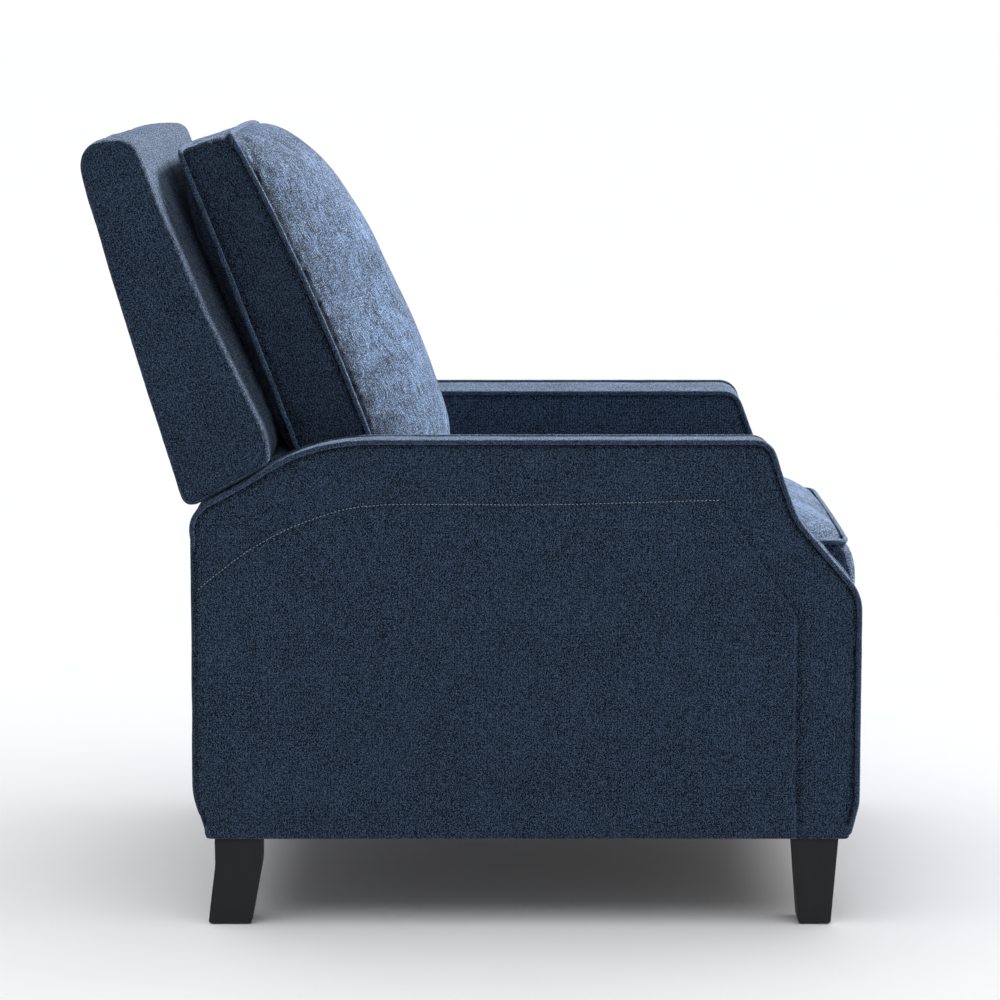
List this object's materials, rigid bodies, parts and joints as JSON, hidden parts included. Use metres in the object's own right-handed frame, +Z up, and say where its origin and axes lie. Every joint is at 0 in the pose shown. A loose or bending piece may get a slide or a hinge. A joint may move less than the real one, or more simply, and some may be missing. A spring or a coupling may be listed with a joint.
{
  "type": "push-back recliner armchair",
  "caption": "Upholstered push-back recliner armchair: the back leans, the seat slides forward and a linked footrest folds out from between the arms.",
  "frame": {"origin": "on the floor under the middle of the chair's outline, with the back upright and the footrest folded", "axes": "+X forward (the way the sitter faces), +Y to the sitter's left, +Z up"},
  "size_m": [0.9967, 0.75, 1.0245],
  "materials": {
    "upholstery": "navy chenille velvet with a fine upright rib",
    "frame_timber": "bare plywood and softwood",
    "leg_wood": "satin black stain",
    "steel": "satin dark grey paint",
    "zinc_fixings": "bright zinc plate",
    "dust_cloth": "black non-woven cloth",
    "webbing": "woven elastic strap",
    "glide": "black moulded plastic"
  },
  "bodies": {
    "base": {"arm_right": "upholstery", "arm_left": "upholstery", "arm_frame_right": "frame_timber", "arm_frame_left": "frame_timber", "rear_panel": "upholstery", "rear_rail": "frame_timber", "front_rail": "frame_timber", "dust_cover": "dust_cloth", "corner_blocks": "frame_timber", "leg_front_right": "leg_wood", "leg_front_left": "leg_wood", "leg_rear_right": "leg_wood", "leg_rear_left": "leg_wood", "leg_bolts": "zinc_fixings", "leg_glides": "glide", "side_plate_right": "steel", "side_plate_left": "steel", "cross_tube_front": "steel", "cross_tube_rear": "steel", "plate_bolts": "zinc_fixings", "back_pivots": "zinc_fixings"},
    "seat": {"seat_frame": "frame_timber", "seat_webbing": "webbing", "seat_cushion": "upholstery", "seat_plate_right": "steel", "seat_plate_left": "steel", "slide_pins": "zinc_fixings", "link_pivots": "zinc_fixings"},
    "back": {"back_slab": "upholstery", "back_lower_panel": "upholstery", "back_frame": "frame_timber", "back_webbing": "webbing", "back_cushion": "upholstery", "back_bracket_right": "steel", "back_bracket_left": "steel", "bracket_screws": "zinc_fixings"},
    "front_links": {"front_link_right": "steel", "front_link_left": "steel", "torque_tube": "steel", "knee_rivets": "zinc_fixings"},
    "upper_links": {"upper_link_right": "steel", "upper_link_left": "steel", "foot_rivets": "zinc_fixings"},
    "footrest": {"footrest_pad": "upholstery", "footrest_board": "frame_timber", "footrest_bracket_right": "steel", "footrest_bracket_left": "steel", "board_screws": "zinc_fixings"}
  },
  "joints": [
    {"name": "back_recline", "type": "hinge", "parent": "base", "child": "back", "pos_m": [-0.24, 0, 0.33], "axis": [0, -1, 0], "range_deg": [0, 28]},
    {"name": "seat_slide", "type": "slide", "parent": "base", "child": "seat", "axis": [1, 0, 0], "range_m": [0, 0.06]},
    {"name": "front_link_swing", "type": "hinge", "parent": "seat", "child": "front_links", "pos_m": [0.29, 0, 0.28], "axis": [0, -1, 0], "range_deg": [0, 64.3]},
    {"name": "upper_link_swing", "type": "hinge", "parent": "front_links", "child": "upper_links", "pos_m": [0.34861, 0, 0.14192], "axis": [0, -1, 0], "range_deg": [-102.5, 0]},
    {"name": "footrest_swing", "type": "hinge", "parent": "upper_links", "child": "footrest", "pos_m": [0.415, 0, 0.32], "axis": [0, -1, 0], "range_deg": [0, 128.2]}
  ],
  "couplings": [
    {"joint": "seat_slide", "follows": "back_recline", "m_per_rad": 0.12277},
    {"joint": "front_link_swing", "follows": "back_recline", "ratio": 2.2964},
    {"joint": "upper_link_swing", "follows": "back_recline", "ratio": -3.6607},
    {"joint": "footrest_swing", "follows": "back_recline", "ratio": 4.5786}
  ]
}
